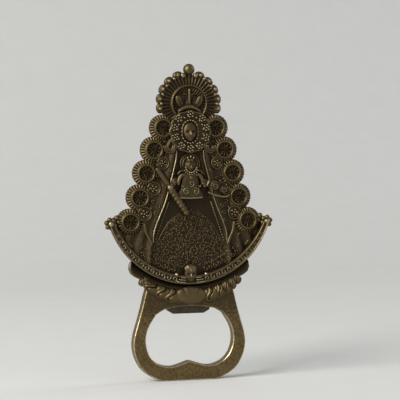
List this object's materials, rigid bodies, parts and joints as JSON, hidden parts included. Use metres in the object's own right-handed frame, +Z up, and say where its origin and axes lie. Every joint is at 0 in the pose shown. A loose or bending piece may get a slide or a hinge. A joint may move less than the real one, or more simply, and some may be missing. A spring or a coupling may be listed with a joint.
{
  "type": "bottle opener",
  "caption": "Stand-up souvenir bottle opener in antique bronze: a flat loop with a lifting lip, a leaf collar and a haloed robed figure on a crescent.",
  "frame": {"origin": "middle of the flat foot that the opener stands on, half way through the frame's thickness", "axes": "+Z up from the foot to the halo, the figure faces -Y, +X is to the right of someone who looks at the figure"},
  "size_m": [0.0628, 0.0069, 0.1143],
  "materials": {
    "bronze_frame": "antique bronze plating, brown and mottled, edges worn bright",
    "bronze_casting": "antique bronze plating, blackened recesses, high spots rubbed to pale brass",
    "lip_steel": "steel with a thin dark bronze wash, smooth",
    "rivet_steel": "countersunk rivet heads, filed flush",
    "magnet_ferrite": "sintered ferrite, ground flat, dark grey"
  },
  "bodies": {
    "root": {"opener_frame": "bronze_frame", "cap_lifter_lip": "lip_steel", "lip_rivets": "rivet_steel", "pedestal_collar": "bronze_casting", "collar_rivets": "rivet_steel", "figure_relief": "bronze_casting", "relief_rivets": "rivet_steel", "magnet_lower": "magnet_ferrite", "magnet_upper": "magnet_ferrite"}
  },
  "joints": []
}
